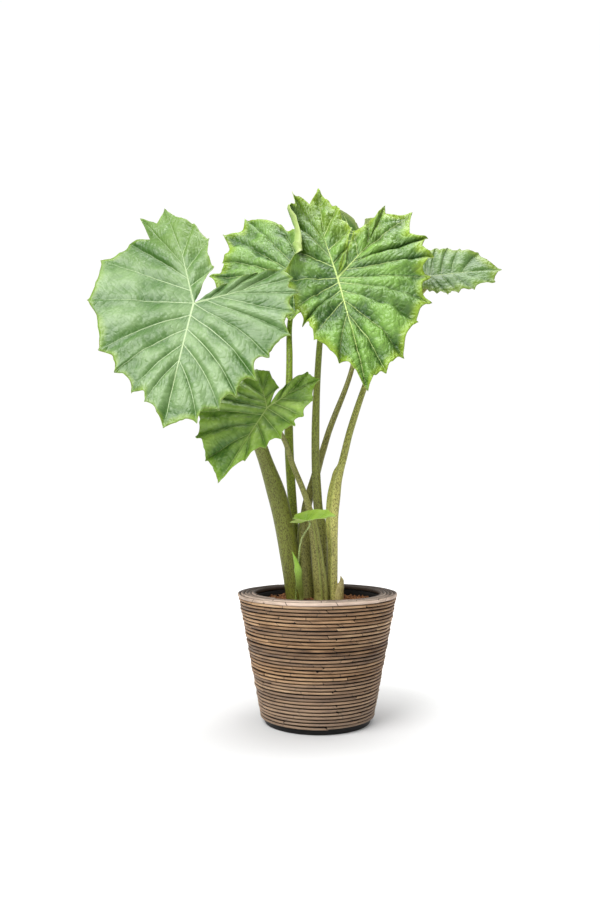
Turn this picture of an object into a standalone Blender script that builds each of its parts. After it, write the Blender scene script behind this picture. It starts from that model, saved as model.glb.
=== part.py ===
"""A tall potted alocasia: a leafy plant in soil, in a plastic liner wound with rattan canes.

Metres, +Z up. The origin is the centre of the pot's underside. Every leaf, leaf stalk, cane
course, the soil, the rootstock and the liner is one closed solid in its own object.
"""

import math

import bmesh
import bpy
from mathutils import Matrix, Vector
from mathutils.geometry import interpolate_bezier

# ---- driving dimensions -------------------------------------------------------------------
GAP = 0.0003                  # room between pieces that touch
ROUND = 24                    # sides of every turned piece

RIM_RADIUS = 0.200            # outside of the wound rim
RIM_TOP = 0.322
MOUTH_RADIUS = 0.156          # inside edge of the wound rim
WALL_TOP = 0.312              # underside of the rim courses
WALL_BOTTOM = 0.014           # underside of the lowest wall course
WALL_FOOT_RADIUS = 0.143      # outside of the lowest wall course
CANE_DEPTH = 0.007            # from the outside of a cane to its back
WALL_COURSES = 35
RIM_COURSES = 5
CANE_ROUND = 0.0018           # how far a wall cane's edges fall back from its middle
RIM_ROUND = 0.003             # the same for the canes on top

FOOT_RADIUS = 0.133
FOOT_EDGE = 0.002             # rounding of the foot's edge
LINER_WALL = 0.004
LINER_LIP = 0.020             # how far the liner's top reaches in under the rim
LINER_FLOOR = 0.005
LINER_BEND = 0.010            # bend between the liner's floor and its wall

SOIL_TOP = 0.298
SOIL_EDGE = 0.006             # how much lower the soil is at the liner
SOIL_FLAT_RADIUS = 0.120
CROWN_RADIUS = 0.080          # the rootstock's flat top, where the leaf stalks sit
CROWN_TOP = 0.2965
CROWN_DEPTH = 0.110
CROWN_SHOULDER = 0.020        # below this depth the rootstock narrows
CROWN_TIP_RADIUS = 0.020

BLADE = 0.003                 # thickness of a leaf blade
STALK_END_GAP = 0.0040        # from a stalk's end to the leaf it carries

# ---- materials ----------------------------------------------------------------------------


def material(name, colour, roughness):
    found = bpy.data.materials.get(name)
    if found:
        return found
    made = bpy.data.materials.new(name)
    made.use_nodes = True
    shader = made.node_tree.nodes["Principled BSDF"]
    shader.inputs["Base Color"].default_value = (*colour, 1.0)
    shader.inputs["Roughness"].default_value = roughness
    shader.inputs["Metallic"].default_value = 0.0
    return made


def rattan():
    return material("rattan", (0.34, 0.22, 0.14), 0.6)


def black_plastic():
    return material("liner_plastic", (0.02, 0.02, 0.02), 0.35)


def potting_soil():
    return material("soil", (0.045, 0.022, 0.012), 0.95)


def leaf_green():
    return material("leaf", (0.17, 0.36, 0.10), 0.45)


def stalk_green():
    return material("stalk", (0.16, 0.20, 0.05), 0.5)


def dry_sheath():
    return material("sheath", (0.33, 0.27, 0.12), 0.7)


def root_brown():
    return material("rootstock", (0.14, 0.08, 0.04), 0.9)


# ---- ways of making a solid ---------------------------------------------------------------


def add_object(name, bm, finish, smooth=True):
    bmesh.ops.recalc_face_normals(bm, faces=bm.faces)
    mesh = bpy.data.meshes.new(name)
    bm.to_mesh(mesh)
    bm.free()
    if smooth:
        mesh.shade_smooth()
        mesh.set_sharp_from_angle(angle=math.radians(40))
    mesh.materials.append(finish)
    made = bpy.data.objects.new(name, mesh)
    bpy.context.scene.collection.objects.link(made)
    return made


def turned(name, profile, finish):
    """A solid of revolution: a closed (radius, height) outline spun once round the Z axis."""
    bm = bmesh.new()
    verts = [bm.verts.new((r, 0.0, z)) for r, z in profile]
    edges = [bm.edges.new(pair) for pair in zip(verts, verts[1:] + verts[:1])]
    bmesh.ops.spin(bm, geom=verts + edges, cent=(0, 0, 0), axis=(0, 0, 1),
                   angle=math.tau, steps=ROUND, use_merge=True)
    bmesh.ops.remove_doubles(bm, verts=bm.verts, dist=1e-6)
    bmesh.ops.dissolve_degenerate(bm, edges=bm.edges, dist=1e-7)
    flat = [e for e in bm.edges if e.is_valid and max(math.hypot(v.co.x, v.co.y) for v in e.verts) < 1e-6]
    bmesh.ops.delete(bm, geom=flat, context="EDGES")
    return add_object(name, bm, finish)


def smooth_route(points, per_span):
    """Points along Bezier spans through the route's own points, without a kink at any."""
    route = [Vector(p) for p in points]
    slopes = []
    for i in range(len(route)):
        before = route[max(i - 1, 0)]
        after = route[min(i + 1, len(route) - 1)]
        run = (route[i] - before).length + (after - route[i]).length
        slopes.append((after - before) / run)
    out = [route[0]]
    for i in range(len(route) - 1):
        third = (route[i + 1] - route[i]).length / 3
        leave = route[i] + slopes[i] * third
        arrive = route[i + 1] - slopes[i + 1] * third
        span = interpolate_bezier(route[i], leave, arrive, route[i + 1], per_span + 1)
        out.extend(span[1:])
    return out


def stalk(name, route, finish, sides=2, per_span=2):
    """A round stalk along a route of (x, y, z, radius)."""
    points = smooth_route([stop[:3] for stop in route], per_span)
    curve = bpy.data.curves.new(name, "CURVE")
    curve.dimensions = "3D"
    curve.bevel_depth = 1.0
    curve.bevel_resolution = sides
    curve.use_fill_caps = True
    spline = curve.splines.new("POLY")
    spline.points.add(len(points) - 1)
    for i, (node, point) in enumerate(zip(spline.points, points)):
        before = route[i // per_span][3]
        after = route[min(i // per_span + 1, len(route) - 1)][3]
        node.co = (*point, 1.0)
        node.radius = before + (after - before) * (i % per_span) / per_span
    curve.materials.append(finish)
    made = bpy.data.objects.new(name, curve)
    bpy.context.scene.collection.objects.link(made)


# ---- the pot ------------------------------------------------------------------------------


def wall_radius(height):
    """Outside radius of the wound wall at a height: one straight taper up to the rim."""
    share = (height - WALL_BOTTOM) / (RIM_TOP - WALL_BOTTOM)
    return WALL_FOOT_RADIUS + (RIM_RADIUS - WALL_FOOT_RADIUS) * share


def make_liner():
    """The black inner pot: foot, wall behind the canes, top edge under the rim courses."""
    back = CANE_DEPTH + GAP
    low = WALL_BOTTOM - GAP
    top = WALL_TOP - GAP
    profile = [
        (0.0, 0.0),
        (FOOT_RADIUS - FOOT_EDGE, 0.0),
        (FOOT_RADIUS, FOOT_EDGE),
        (FOOT_RADIUS, low),
        (wall_radius(WALL_BOTTOM) - back, low),
        (wall_radius(WALL_TOP) - back, top),
        (wall_radius(WALL_TOP) - back - LINER_WALL - LINER_LIP, top),
        (wall_radius(SOIL_TOP) - back - LINER_WALL - LINER_LIP, SOIL_TOP - SOIL_EDGE),
        (FOOT_RADIUS - LINER_WALL, LINER_FLOOR + LINER_BEND),
        (FOOT_RADIUS - LINER_WALL - LINER_BEND, LINER_FLOOR),
        (0.0, LINER_FLOOR),
    ]
    turned("pot_liner", profile, black_plastic())


def make_wall_courses():
    """Split canes wound round the wall, one closed ring to a course."""
    pitch = (WALL_TOP - WALL_BOTTOM) / WALL_COURSES
    for course in range(WALL_COURSES):
        low = WALL_BOTTOM + course * pitch
        high = low + pitch - GAP
        middle = (low + high) / 2
        outside = wall_radius(middle)
        profile = [
            (wall_radius(low) - CANE_DEPTH, low),
            (outside - CANE_ROUND, low),
            (outside, middle),
            (outside - CANE_ROUND, high),
            (wall_radius(high) - CANE_DEPTH, high),
        ]
        turned(f"cane_wall_{course + 1:02d}", profile, rattan())


def make_rim_courses():
    """Canes coiled flat on top of the wall, the outermost one rounded over the edge."""
    pitch = (RIM_RADIUS - MOUTH_RADIUS) / RIM_COURSES
    for course in range(RIM_COURSES):
        inside = MOUTH_RADIUS + course * pitch
        outside = inside + pitch - GAP
        middle = (inside + outside) / 2
        profile = [
            (inside, WALL_TOP),
            (outside, WALL_TOP),
            (outside, RIM_TOP - RIM_ROUND),
            (middle, RIM_TOP),
            (inside, RIM_TOP - RIM_ROUND),
        ]
        turned(f"cane_rim_{course + 1}", profile, rattan())


# ---- soil and rootstock -------------------------------------------------------------------


def make_soil():
    """Potting soil up to just under the rim, with the hollow that the rootstock grows in."""
    edge = wall_radius(SOIL_TOP) - CANE_DEPTH - LINER_WALL - LINER_LIP - 4 * GAP
    foot = FOOT_RADIUS - LINER_WALL - 2 * GAP
    profile = [
        (0.0, LINER_FLOOR + GAP),
        (foot - LINER_BEND, LINER_FLOOR + GAP),
        (foot, LINER_FLOOR + LINER_BEND + GAP),
        (edge, SOIL_TOP - SOIL_EDGE),
        (SOIL_FLAT_RADIUS, SOIL_TOP),
        (CROWN_RADIUS + GAP, SOIL_TOP),
        (CROWN_RADIUS + GAP, CROWN_TOP - CROWN_SHOULDER),
        (CROWN_RADIUS * 0.6, CROWN_TOP - CROWN_DEPTH * 0.7),
        (CROWN_TIP_RADIUS, CROWN_TOP - CROWN_DEPTH - GAP),
        (0.0, CROWN_TOP - CROWN_DEPTH - GAP),
    ]
    turned("soil", profile, potting_soil())


def make_rootstock():
    """The thick upright root that carries the leaf stalks, flat-topped at the soil line."""
    profile = [
        (0.0, CROWN_TOP - CROWN_DEPTH),
        (CROWN_TIP_RADIUS - GAP, CROWN_TOP - CROWN_DEPTH),
        (CROWN_RADIUS * 0.6 - 2 * GAP, CROWN_TOP - CROWN_DEPTH * 0.7),
        (CROWN_RADIUS, CROWN_TOP - CROWN_SHOULDER + GAP),
        (CROWN_RADIUS, CROWN_TOP),
        (0.0, CROWN_TOP),
    ]
    turned("rootstock", profile, root_brown())


# ---- leaves -------------------------------------------------------------------------------
# A blade is drawn in its own plane from the point where the stalk meets it. "tip" points from
# there to the leaf's tip and "face" is the way that the upper side looks. Each side lists the
# teeth of its margin as (degrees from the tip, reach, lift out of the plane) in three runs:
# "inner" along the notch, "outer" round the basal lobe, "main" down to the tip. "rib" is the
# basal rib that the first two runs of veins spring from.

LEAVES = {
    "leaf_front_left": dict(
        joint=(-0.284, -0.200, 0.998), tip=(-0.16, -0.41, -0.90), face=(-0.05, -0.905, 0.42),
        length=0.314, droop=0.02, fold=0.10,
        left=dict(rib=(157, 0.24),
                  inner=[(194, 0.03, 0), (192, 0.11, -0.004), (178, 0.19, 0.004), (167, 0.245, 0)],
                  outer=[(154, 0.31, -0.012), (143, 0.32, -0.015), (132, 0.265, -0.02), (110, 0.257, 0)],
                  main=[(82, 0.237, 0.004), (49, 0.236, 0), (33, 0.24, 0), (19, 0.258, 0),
                        (11, 0.264, 0)]),
        right=dict(rib=(113, 0.19),
                   inner=[(140, 0.03, 0), (132, 0.09, 0.003), (128, 0.16, 0), (123, 0.227, -0.004)],
                   outer=[(113, 0.228, 0), (102, 0.234, 0), (89, 0.232, -0.004), (74, 0.241, 0)],
                   main=[(57, 0.232, 0), (44, 0.254, 0), (32, 0.268, 0), (23, 0.284, 0), (13, 0.300, 0)])),
    "leaf_front_right": dict(
        joint=(0.045, -0.130, 1.074), tip=(0.214, -0.363, -0.907), face=(0.05, -0.923, 0.381),
        length=0.296, droop=0.02, fold=0.12,
        left=dict(rib=(178, 0.21),
                  inner=[(208, 0.03, 0), (208, 0.09, 0), (206, 0.15, 0), (193, 0.215, 0)],
                  outer=[(184, 0.285, -0.01), (170, 0.284, -0.015), (160, 0.262, -0.02),
                         (140, 0.152, -0.02)],
                  main=[(101, 0.127, -0.02), (62, 0.128, -0.015), (44, 0.15, -0.01), (30, 0.185, 0),
                        (12, 0.218, 0)]),
        right=dict(rib=(130, 0.20),
                   inner=[(151, 0.03, 0), (151, 0.09, 0), (151, 0.142, 0), (142, 0.187, 0)],
                   outer=[(139, 0.25, -0.006), (125, 0.272, -0.01), (107, 0.25, -0.01), (93, 0.237, 0)],
                   main=[(77, 0.214, 0), (60, 0.224, 0), (43, 0.217, 0), (23, 0.252, 0), (11, 0.264, 0)])),
    "leaf_low_left": dict(
        joint=(-0.119, -0.175, 0.764), tip=(-0.494, -0.345, -0.798), face=(-0.05, -0.905, 0.422),
        length=0.212, droop=0.01, fold=0.15,
        left=dict(rib=(138, 0.08),
                  inner=[(182, 0.015, 0), (176, 0.06, 0), (152, 0.098, 0)],
                  outer=[(136, 0.107, -0.004), (112, 0.098, -0.006), (87, 0.10, 0)],
                  main=[(72, 0.125, 0.004), (55, 0.157, 0), (35, 0.174, 0), (17, 0.185, 0)]),
        right=dict(rib=(156, 0.10),
                   inner=[(178, 0.015, 0), (173, 0.077, 0), (165, 0.132, 0)],
                   outer=[(152, 0.142, -0.006), (129, 0.105, -0.01), (104, 0.085, -0.01)],
                   main=[(84, 0.076, -0.012), (52, 0.081, -0.012), (28, 0.098, -0.008), (10, 0.14, 0)])),
    "leaf_back_left": dict(
        joint=(-0.049, 0.120, 1.151), tip=(-0.75, -0.10, -0.60), face=(-0.10, -0.85, 0.50),
        length=0.26, droop=0.02, fold=0.12,
        left=dict(rib=(135, 0.10),
                  inner=[(180, 0.015, 0), (174, 0.06, 0), (158, 0.105, 0)],
                  outer=[(138, 0.15, 0), (113, 0.205, -0.008), (94, 0.275, -0.012)],
                  main=[(75, 0.265, -0.01), (54, 0.215, 0), (40, 0.237, 0), (20, 0.225, 0)]),
        right=dict(rib=(132, 0.10),
                   inner=[(176, 0.015, 0), (166, 0.06, 0), (152, 0.11, 0)],
                   outer=[(134, 0.138, -0.006), (110, 0.145, -0.01), (86, 0.14, -0.01)],
                   main=[(66, 0.14, -0.01), (47, 0.16, 0), (30, 0.19, 0), (14, 0.22, 0)])),
    "leaf_far_right": dict(
        joint=(0.287, 0.020, 1.12), tip=(0.985, 0.08, 0.12), face=(-0.05, -0.80, 0.60),
        length=0.172, droop=0.01, fold=0.10,
        left=dict(rib=(135, 0.045),
                  inner=[(176, 0.012, 0), (162, 0.03, 0), (142, 0.05, -0.004)],
                  outer=[(126, 0.058, -0.012), (106, 0.062, -0.022), (86, 0.07, -0.028)],
                  main=[(66, 0.082, -0.03), (50, 0.095, -0.028), (34, 0.12, -0.02), (17, 0.158, -0.008)]),
        right=dict(rib=(138, 0.055),
                   inner=[(177, 0.012, 0), (162, 0.04, 0), (140, 0.068, 0)],
                   outer=[(120, 0.082, -0.002), (100, 0.09, 0), (83, 0.095, 0)],
                   main=[(68, 0.108, 0), (54, 0.12, 0), (41, 0.13, 0), (25, 0.158, 0)])),
    "leaf_back_right": dict(
        joint=(0.135, 0.150, 1.243), tip=(0.35, 0.72, -0.60), face=(0.263, 0.54, 0.80),
        length=0.30, droop=0.03, fold=0.08,
        left=dict(rib=(150, 0.10),
                  inner=[(178, 0.015, 0), (174, 0.05, 0), (164, 0.08, 0)],
                  outer=[(150, 0.09, -0.004), (126, 0.10, -0.012), (102, 0.115, -0.02)],
                  main=[(80, 0.135, -0.02), (57, 0.165, -0.01), (37, 0.205, 0), (18, 0.25, 0)]),
        right=dict(rib=(150, 0.10),
                   inner=[(178, 0.015, 0), (173, 0.07, 0), (163, 0.12, 0)],
                   outer=[(149, 0.13, -0.004), (126, 0.125, -0.012), (104, 0.13, -0.02)],
                   main=[(81, 0.145, -0.02), (58, 0.17, -0.01), (36, 0.205, 0), (16, 0.245, 0)])),
    "leaf_small": dict(
        joint=(-0.023, -0.115, 0.5045), tip=(0.95, -0.20, 0.28), face=(-0.24, -0.20, 0.95),
        length=0.066, droop=0.004, fold=0.12,
        left=dict(rib=(150, 0.035),
                  inner=[(178, 0.008, 0), (160, 0.042, 0.010)],
                  outer=[(138, 0.05, 0.012), (95, 0.044, 0.009)],
                  main=[(70, 0.042, 0.006), (32, 0.055, 0.003)]),
        right=dict(rib=(150, 0.035),
                   inner=[(178, 0.008, 0), (160, 0.042, 0.009)],
                   outer=[(138, 0.05, 0.010), (95, 0.044, 0.011)],
                   main=[(70, 0.042, 0.011), (32, 0.055, 0.008)])),
}

COLUMNS = 2                   # mesh columns between two neighbouring veins
ROWS = 3                      # mesh rows from the ribs to the margin
BAY = 0.06                    # how far the margin draws in between two teeth
VEIN_REACH = 0.82             # how far down the leaf the last pair of veins starts


def polar(degrees, reach, lift=0.0):
    turn = math.radians(degrees)
    return Vector((math.sin(turn) * reach, math.cos(turn) * reach, lift))


def half_veins(side, length):
    """(start, end) of each vein of one half: up the notch, round the lobe, down to the tip."""
    rib_end = polar(*side["rib"])
    lobe = len(side["inner"]) - 1
    down = len(side["main"])
    veins = [(rib_end * (i / lobe), polar(*t)) for i, t in enumerate(side["inner"])]
    veins += [(rib_end * (1 - i / lobe), polar(*t)) for i, t in enumerate(side["outer"])]
    for i, tooth in enumerate(side["main"]):
        veins.append((Vector((0, length * VEIN_REACH * i / down, 0)), polar(*tooth)))
    veins.append((Vector((0, length * VEIN_REACH, 0)), Vector((0, length, 0))))
    return veins


def half_grid(side, length, mirror):
    """Rows of points from the ribs out to the margin, as one list for each mesh column."""
    veins = half_veins(side, length)
    columns = []
    for (start_a, end_a), (start_b, end_b) in zip(veins, veins[1:]):
        for step in range(COLUMNS):
            share = step / COLUMNS
            bay = 1 - BAY * (1 - (2 * share - 1) ** 2)
            start = start_a.lerp(start_b, share)
            end = start + (end_a.lerp(end_b, share) - start) * bay
            columns.append([start.lerp(end, row / ROWS) for row in range(ROWS + 1)])
    start, end = veins[-1]
    columns.append([start.lerp(end, row / ROWS) for row in range(ROWS + 1)])
    return [[Vector((p.x * mirror, p.y, p.z)) for p in column] for column in columns]


def shaped(point, leaf):
    """The blade's own form: it folds up a little along the midrib and droops to the tip."""
    along = point.y / leaf["length"]
    lift = leaf["fold"] * abs(point.x) * 0.5 - leaf["droop"] * along * along
    return Vector((point.x, point.y, point.z + lift))


def leaf_matrix(leaf):
    """Leaf plane (across, towards the tip, out of the upper side) to world."""
    up = Vector(leaf["face"]).normalized()
    along = Vector(leaf["tip"])
    along = (along - up * along.dot(up)).normalized()
    across = along.cross(up)
    turn = Matrix((across, along, up)).transposed().to_4x4()
    return Matrix.Translation(leaf["joint"]) @ turn


def make_leaf(name, leaf):
    """One blade: both halves as a single sheet joined along the midrib, then given thickness."""
    left = half_grid(leaf["left"], leaf["length"], 1)
    right = half_grid(leaf["right"], leaf["length"], -1)
    columns = left + right[-2::-1]
    bm = bmesh.new()
    bmesh.ops.create_grid(bm, x_segments=len(columns) - 1, y_segments=ROWS, size=0.5)
    for vert in bm.verts:
        column = round((vert.co.x + 0.5) * (len(columns) - 1))
        row = round((vert.co.y + 0.5) * ROWS)
        vert.co = shaped(columns[column][row], leaf)
    bmesh.ops.remove_doubles(bm, verts=bm.verts, dist=1e-5)
    bmesh.ops.recalc_face_normals(bm, faces=bm.faces)
    bmesh.ops.solidify(bm, geom=bm.faces, thickness=BLADE)
    bmesh.ops.transform(bm, matrix=leaf_matrix(leaf), verts=bm.verts)
    bmesh.ops.triangulate(bm, faces=bm.faces)
    add_object(name, bm, leaf_green())


def make_leaves():
    for name, leaf in LEAVES.items():
        make_leaf(name, leaf)


# ---- stalks -------------------------------------------------------------------------------
# Each stalk stands on the rootstock and ends just behind the leaf that it carries.

BASE = CROWN_TOP + 4 * GAP

STALKS = {
    "stalk_front_left": dict(
        leaf="leaf_front_left", tip_radius=0.0055,
        route=[(-0.060, -0.010, 0.303, 0.0185), (-0.075, -0.012, 0.440, 0.0235),
               (-0.0985, -0.020, 0.555, 0.023),
               (-0.135, -0.045, 0.668, 0.017), (-0.1875, -0.090, 0.817, 0.011),
               (-0.242, -0.140, 0.949, 0.0075)]),
    "stalk_back_left": dict(
        leaf="leaf_back_left", tip_radius=0.0055,
        route=[(-0.046, 0.040, 0.320, 0.0135), (-0.062, 0.047, 0.527, 0.0115),
               (-0.072, 0.055, 0.704, 0.0115),
               (-0.071, 0.090, 0.920, 0.0085), (-0.070, 0.130, 1.030, 0.007)]),
    "stalk_front_right": dict(
        leaf="leaf_front_right", tip_radius=0.0055,
        route=[(0.014, 0.004, 0.320, 0.013), (0.012, 0.006, 0.4715, 0.0125), (0.0015, 0.0, 0.540, 0.0115),
               (-0.005, -0.020, 0.699, 0.010), (0.002, -0.045, 0.896, 0.0078),
               (0.014, -0.065, 0.995, 0.0065)]),
    "stalk_back_right": dict(
        leaf="leaf_back_right", tip_radius=0.005,
        route=[(-0.025, 0.010, 0.325, 0.017), (-0.0385, 0.017, 0.438, 0.0145),
               (-0.028, 0.028, 0.527, 0.0125),
               (-0.004, 0.040, 0.614, 0.011), (0.014, 0.048, 0.673, 0.0088), (0.0326, 0.055, 0.733, 0.008),
               (0.095, 0.100, 0.903, 0.0065), (0.125, 0.130, 1.100, 0.006)]),
    "stalk_far_right": dict(
        leaf="leaf_far_right", tip_radius=0.0045,
        route=[(0.037, -0.020, 0.325, 0.0125), (0.0375, -0.022, 0.440, 0.0125),
               (0.0355, -0.022, 0.497, 0.0155),
               (0.040, -0.018, 0.555, 0.0165), (0.0505, -0.008, 0.613, 0.0135),
               (0.062, 0.006, 0.643, 0.0095),
               (0.084, 0.013, 0.729, 0.0088), (0.124, 0.020, 0.849, 0.0075),
               (0.174, 0.035, 0.974, 0.006)]),
    "stalk_low_left": dict(
        leaf="leaf_low_left", tip_radius=0.004,
        route=[(0.0083, -0.037, 0.328, 0.016), (-0.009, -0.044, 0.4715, 0.0123),
               (-0.028, -0.054, 0.555, 0.0072),
               (-0.062, -0.070, 0.640, 0.0068), (-0.0805, -0.100, 0.694, 0.006)]),
    "stalk_small": dict(
        leaf="leaf_small", tip_radius=0.0018,
        route=[(-0.053, -0.054, 0.320, 0.0025), (-0.046, -0.090, 0.418, 0.0022),
               (-0.0395, -0.105, 0.460, 0.002)]),
}


def make_stalks():
    for name, part in STALKS.items():
        leaf = LEAVES[part["leaf"]]
        under = -Vector(leaf["face"]).normalized()
        joint = Vector(leaf["joint"])
        radius = part["tip_radius"]
        x, y, _, foot_radius = part["route"][0]
        end = joint + under * (BLADE + STALK_END_GAP)
        below = joint + under * (BLADE + STALK_END_GAP + 4 * radius)
        route = [(x, y, BASE, foot_radius)] + part["route"] + [(*below, radius * 1.1), (*end, radius)]
        stalk(name, route, stalk_green())


SHEATHS = {
    "sheath_right": [(0.0575, -0.020, BASE, 0.0045), (0.0575, -0.020, 0.308, 0.0045),
                     (0.0610, -0.021, 0.336, 0.0048), (0.0580, -0.021, 0.360, 0.0015)],
    "young_leaf": [(-0.040, -0.063, BASE, 0.004), (-0.040, -0.063, 0.312, 0.004),
                   (-0.046, -0.088, 0.355, 0.006),
                   (-0.048, -0.099, 0.384, 0.0075), (-0.053, -0.099, 0.405, 0.005),
                   (-0.0615, -0.099, 0.428, 0.0012)],
}


def make_sheaths():
    for name, route in SHEATHS.items():
        stalk(name, route, leaf_green() if name == "young_leaf" else dry_sheath())


# ---- the whole object ---------------------------------------------------------------------


def clear_scene():
    for item in list(bpy.data.objects):
        bpy.data.objects.remove(item)


clear_scene()
make_liner()
make_wall_courses()
make_rim_courses()
make_soil()
make_rootstock()
make_leaves()
make_stalks()
make_sheaths()
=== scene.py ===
import math
import random

import bmesh
import bpy
from mathutils import Matrix, Vector, noise
from mathutils.geometry import interpolate_bezier


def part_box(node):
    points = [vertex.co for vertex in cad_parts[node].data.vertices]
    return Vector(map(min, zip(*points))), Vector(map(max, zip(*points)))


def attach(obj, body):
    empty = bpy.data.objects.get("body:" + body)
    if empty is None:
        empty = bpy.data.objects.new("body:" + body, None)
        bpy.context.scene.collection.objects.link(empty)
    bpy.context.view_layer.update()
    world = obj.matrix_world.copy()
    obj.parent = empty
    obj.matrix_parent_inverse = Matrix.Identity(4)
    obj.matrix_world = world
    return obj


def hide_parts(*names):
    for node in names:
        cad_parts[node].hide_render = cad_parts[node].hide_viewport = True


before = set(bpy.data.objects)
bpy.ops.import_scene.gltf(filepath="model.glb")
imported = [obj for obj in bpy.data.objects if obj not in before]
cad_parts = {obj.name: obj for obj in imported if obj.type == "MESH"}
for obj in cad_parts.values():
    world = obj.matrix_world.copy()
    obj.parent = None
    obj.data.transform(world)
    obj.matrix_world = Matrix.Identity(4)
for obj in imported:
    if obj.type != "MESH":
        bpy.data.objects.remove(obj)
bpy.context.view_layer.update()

# A potted alocasia: leaves, stalks, soil and a planter of wound rattan canes.
# Metres, +Z up, the origin under the middle of the pot, the front towards -Y.


# helpers for materials and pieces

def newMaterial(name, roughness, specular=0.5):
    made = bpy.data.materials.new(name)
    made.use_nodes = True
    shader = made.node_tree.nodes["Principled BSDF"]
    shader.inputs["Roughness"].default_value = roughness
    shader.inputs["Specular IOR Level"].default_value = specular
    return made, made.node_tree, shader


def addNode(tree, kind, **settings):
    # plain settings go on the node, a name with a leading underscore sets that input
    node = tree.nodes.new(kind)
    for key, value in settings.items():
        if key.startswith("_"):
            node.inputs[key[1:].replace("_", " ")].default_value = value
        else:
            setattr(node, key, value)
    return node


def wire(tree, source, target):
    tree.links.new(source, target)


def maths(tree, operation, first, second, clamp=False):
    node = addNode(tree, "ShaderNodeMath", operation=operation, use_clamp=clamp)
    for i, value in enumerate((first, second)):
        if isinstance(value, (int, float)):
            node.inputs[i].default_value = value
        else:
            wire(tree, value, node.inputs[i])
    return node.outputs[0]


def scaled(tree, value, amount):
    return maths(tree, "MULTIPLY", value, amount)


def fade(tree, value, low, high):
    # 0 below low, 1 above high, smooth between
    node = addNode(tree, "ShaderNodeMapRange", interpolation_type="SMOOTHSTEP")
    wire(tree, value, node.inputs["Value"])
    node.inputs["From Min"].default_value = low
    node.inputs["From Max"].default_value = high
    return node.outputs["Result"]


def fadeOut(tree, value, low, high):
    return maths(tree, "SUBTRACT", 1.0, fade(tree, value, low, high))


def blendColours(tree, share, first, second):
    node = addNode(tree, "ShaderNodeMix", data_type="RGBA")
    for socket, value in ((node.inputs[0], share), (node.inputs[6], first), (node.inputs[7], second)):
        if isinstance(value, tuple):
            socket.default_value = (*value, 1.0)
        elif isinstance(value, (int, float)):
            socket.default_value = value
        else:
            wire(tree, value, socket)
    return node.outputs[2]


def attribute(tree, name):
    return addNode(tree, "ShaderNodeAttribute", attribute_name=name).outputs["Fac"]


def objectPlace(tree):
    return addNode(tree, "ShaderNodeTexCoord").outputs["Object"]


def noiseOf(tree, scale, detail=4.0, stretch=(1, 1, 1), roughness=0.5):
    mapping = addNode(tree, "ShaderNodeMapping", _Scale=stretch)
    wire(tree, objectPlace(tree), mapping.inputs["Vector"])
    node = addNode(tree, "ShaderNodeTexNoise", _Scale=scale, _Detail=detail, _Roughness=roughness)
    wire(tree, mapping.outputs[0], node.inputs["Vector"])
    return node.outputs["Fac"]


def setRoughness(tree, shader, source, low, high):
    rough = addNode(tree, "ShaderNodeMapRange", _To_Min=low, _To_Max=high)
    wire(tree, source, rough.inputs["Value"])
    wire(tree, rough.outputs["Result"], shader.inputs["Roughness"])


def bump(tree, shader, height, distance, strength=1.0):
    node = addNode(tree, "ShaderNodeBump", _Strength=strength, _Distance=distance)
    wire(tree, height, node.inputs["Height"])
    wire(tree, node.outputs[0], shader.inputs["Normal"])


def linkPiece(name, bm, materials):
    mesh = bpy.data.meshes.new(name)
    bm.to_mesh(mesh)
    bm.free()
    for item in materials:
        mesh.materials.append(item)
    piece = bpy.data.objects.new(name, mesh)
    bpy.context.scene.collection.objects.link(piece)
    return piece


def stagePiece(name, bm, material):
    piece = linkPiece(name, bm, [material])
    return piece


def finishPiece(name, bm, materials, replaced=(), smooth=180):
    # smooth is the angle in degrees past which an edge stays sharp
    piece = linkPiece(name, bm, materials)
    piece.data.shade_smooth()
    if smooth < 180:
        piece.data.set_sharp_from_angle(angle=math.radians(smooth))
    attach(piece, "root")
    if replaced:
        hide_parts(*replaced)
    return piece


def titleOf(node):
    # leaf_front_left becomes FrontLeft
    return "".join(word.capitalize() for word in node.split("_")[1:])


def onRing(angle, radius):
    return math.cos(angle) * radius, math.sin(angle) * radius


def closeEnds(bm, verts):
    openEdges = {e for v in verts if v.is_valid for e in v.link_edges if e.is_boundary}
    bmesh.ops.holes_fill(bm, edges=list(openEdges), sides=0)


# camera, light and floor

studio = dict(sky=0.45, aim=(0, 0, 0.7), keyPlace=(-1.5, -2.1, 3.2), keySize=2.6, keyPower=165,
              topPlace=(0.4, 0.3, 3.4), topSize=2.0, topPower=62,
              radius=9.0, floorTone=0.60, nearGlow=0.09, farGlow=0.75, glowFrom=(-0.02, -0.12, 0),
              glowReach=0.95)
view = dict(eye=(-0.0435, -2.0, 0.56), lens=31.84, rise=0.052)      # rise is the lens shift upwards


def setCamera():
    data = bpy.data.cameras.new("camera")
    data.sensor_width = 36
    data.lens = view["lens"]
    data.shift_y = view["rise"]
    camera = bpy.data.objects.new("camera", data)
    camera.location = view["eye"]
    camera.rotation_euler = (math.pi / 2, 0, 0)
    bpy.context.scene.collection.objects.link(camera)
    bpy.context.scene.camera = camera


def addPanel(name, place, size, power):
    data = bpy.data.lights.new(name, "AREA")
    data.shape = "DISK"
    data.size = size
    data.energy = power
    lamp = bpy.data.objects.new(name, data)
    lamp.location = place
    lamp.rotation_euler = (Vector(studio["aim"]) - Vector(place)).to_track_quat("-Z", "Y").to_euler()
    bpy.context.scene.collection.objects.link(lamp)


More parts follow.
